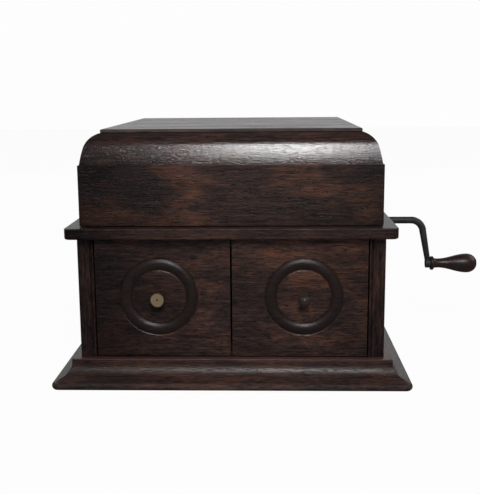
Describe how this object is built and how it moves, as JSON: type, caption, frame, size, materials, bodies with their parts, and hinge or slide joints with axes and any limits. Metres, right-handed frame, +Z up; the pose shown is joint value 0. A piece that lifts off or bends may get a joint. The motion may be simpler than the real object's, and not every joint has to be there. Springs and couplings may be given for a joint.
{
  "type": "tabletop gramophone",
  "caption": "Square wooden tabletop gramophone with a moulded lid over a spring-driven turntable, an inner horn behind two ring-decorated doors, and a side crank.",
  "frame": {"origin": "centre of the case on the underside of its bottom board, level with the plinth's underside", "axes": "+Z up, -Y towards the front with the doors, +X towards the crank's side"},
  "size_m": [0.6206, 0.538, 0.3395],
  "materials": {
    "dark_oak": "near-black stained oak under a worn semi-gloss shellac",
    "ebonised_wood": "turned hardwood, ebonised and polished",
    "pale_wood": "bare turned wood, worn, brown at its edge",
    "inner_wood": "plain brown boards, thinly varnished",
    "black_enamel": "stoved black enamel",
    "nickel_plate": "nickel plate, slightly dull",
    "brass": "satin brass",
    "steel": "turned steel, oiled",
    "green_felt": "wool felt",
    "mica": "clear amber mica sheet"
  },
  "bodies": {
    "cabinet": {"plinth_mouldings": "dark_oak", "bottom_board": "inner_wood", "left_side_panel": "dark_oak", "right_side_panel": "dark_oak", "back_panel": "dark_oak", "front_frame": "dark_oak", "waist_mouldings": "dark_oak", "motor_board": "inner_wood", "ledger_strips": "inner_wood", "horn_floor": "inner_wood", "horn_roof": "inner_wood", "horn_cheeks": "inner_wood", "horn_throat": "black_enamel", "crank_bush": "nickel_plate", "door_pins_and_catches": "brass", "motor_top_plate": "black_enamel", "motor_bottom_plate": "black_enamel", "motor_pillars": "black_enamel", "motor_screws": "steel", "motor_brackets": "black_enamel", "winding_click": "black_enamel", "case_hinge_leaves": "brass", "stay_guide": "nickel_plate", "tonearm_base": "nickel_plate", "tonearm_rest": "nickel_plate", "needle_cups": "nickel_plate"},
    "crank": {"winding_shaft": "steel", "crank_arm": "black_enamel", "crank_handle_pin": "black_enamel"},
    "handle": {"crank_handle": "ebonised_wood"},
    "arbor": {"barrel_arbor": "steel"},
    "barrel": {"spring_barrel": "steel", "mainspring": "steel"},
    "step": {"step_gear": "brass"},
    "turntable": {"turntable_spindle": "steel", "turntable_platter": "nickel_plate", "turntable_felt": "green_felt"},
    "governor": {"governor_shaft": "steel", "governor_weights": "brass", "governor_springs": "steel"},
    "speed_control": {"speed_knob": "nickel_plate"},
    "friction": {"friction_lever": "black_enamel"},
    "brake": {"brake_lever": "nickel_plate"},
    "tonearm": {"tonearm_tube": "nickel_plate"},
    "soundbox": {"gooseneck": "nickel_plate", "soundbox_case": "nickel_plate", "soundbox_diaphragm": "mica", "stylus_bar": "nickel_plate"},
    "lid": {"lid_frame_boards": "dark_oak", "lid_mouldings": "dark_oak", "lid_top_panel": "dark_oak", "lid_hinge_leaves": "brass", "lid_stay": "brass"},
    "left_door": {"left_door": "dark_oak", "left_door_ring": "ebonised_wood", "left_door_knob": "pale_wood"},
    "right_door": {"right_door": "dark_oak", "right_door_ring": "ebonised_wood", "right_door_knob": "ebonised_wood"}
  },
  "joints": [
    {"name": "lid_hinge", "type": "hinge", "parent": "cabinet", "child": "lid", "pos_m": [0, 0.234, 0.2164], "axis": [-1, 0, 0], "range_deg": [0, 70]},
    {"name": "left_door_hinge", "type": "hinge", "parent": "cabinet", "child": "left_door", "pos_m": [-0.1729, -0.229, 0.11725], "axis": [0, 0, -1], "range_deg": [0, 95]},
    {"name": "right_door_hinge", "type": "hinge", "parent": "cabinet", "child": "right_door", "pos_m": [0.1729, -0.229, 0.11725], "axis": [0, 0, 1], "range_deg": [0, 95]},
    {"name": "crank_turn", "type": "hinge", "parent": "cabinet", "child": "crank", "pos_m": [0.1, 0.02, 0.1825], "axis": [-1, 0, 0], "continuous": true},
    {"name": "handle_spin", "type": "hinge", "parent": "crank", "child": "handle", "pos_m": [0.34, 0.02, 0.1127], "axis": [-1, 0, 0], "continuous": true},
    {"name": "arbor_turn", "type": "hinge", "parent": "cabinet", "child": "arbor", "pos_m": [0.07, 0.02, 0.15], "axis": [0, 0, -1], "continuous": true},
    {"name": "turntable_spin", "type": "hinge", "parent": "cabinet", "child": "turntable", "pos_m": [-0.015, -0.025, 0.2], "axis": [0, 0, -1], "continuous": true},
    {"name": "barrel_turn", "type": "hinge", "parent": "cabinet", "child": "barrel", "pos_m": [0.07, 0.02, 0.14], "axis": [0, 0, -1], "continuous": true},
    {"name": "step_turn", "type": "hinge", "parent": "cabinet", "child": "step", "pos_m": [0.0277, -0.0167, 0.16], "axis": [0, 0, -1], "continuous": true},
    {"name": "governor_spin", "type": "hinge", "parent": "cabinet", "child": "governor", "pos_m": [-0.04, -0.055, 0.1445], "axis": [1, 0, 0], "continuous": true},
    {"name": "speed_turn", "type": "hinge", "parent": "cabinet", "child": "speed_control", "pos_m": [-0.11202, -0.13276, 0.2], "axis": [0, 0, 1], "range_deg": [0, 180]},
    {"name": "friction_swing", "type": "hinge", "parent": "cabinet", "child": "friction", "pos_m": [-0.096, -0.10576, 0.15], "axis": [0, 0, 1], "range_deg": [0, 1.8]},
    {"name": "brake_swing", "type": "hinge", "parent": "cabinet", "child": "brake", "pos_m": [0.09617, -0.14421, 0.215], "axis": [0, 0, 1], "range_deg": [0, 18]},
    {"name": "tonearm_swing", "type": "hinge", "parent": "cabinet", "child": "tonearm", "pos_m": [0.11, 0.165, 0.23], "axis": [0, 0, -1], "range_deg": [0, 33]},
    {"name": "soundbox_lift", "type": "hinge", "parent": "tonearm", "child": "soundbox", "pos_m": [0.13091, -0.0339, 0.2705], "axis": [0.1045, -0.9945, 0], "range_deg": [0, 120]}
  ],
  "couplings": [
    {"joint": "arbor_turn", "follows": "crank_turn", "ratio": 0.38889},
    {"joint": "step_turn", "follows": "turntable_spin", "ratio": -0.20833},
    {"joint": "barrel_turn", "follows": "turntable_spin", "ratio": 0.034722},
    {"joint": "governor_spin", "follows": "turntable_spin", "ratio": 12},
    {"joint": "friction_swing", "follows": "speed_turn", "ratio": 0.01}
  ]
}
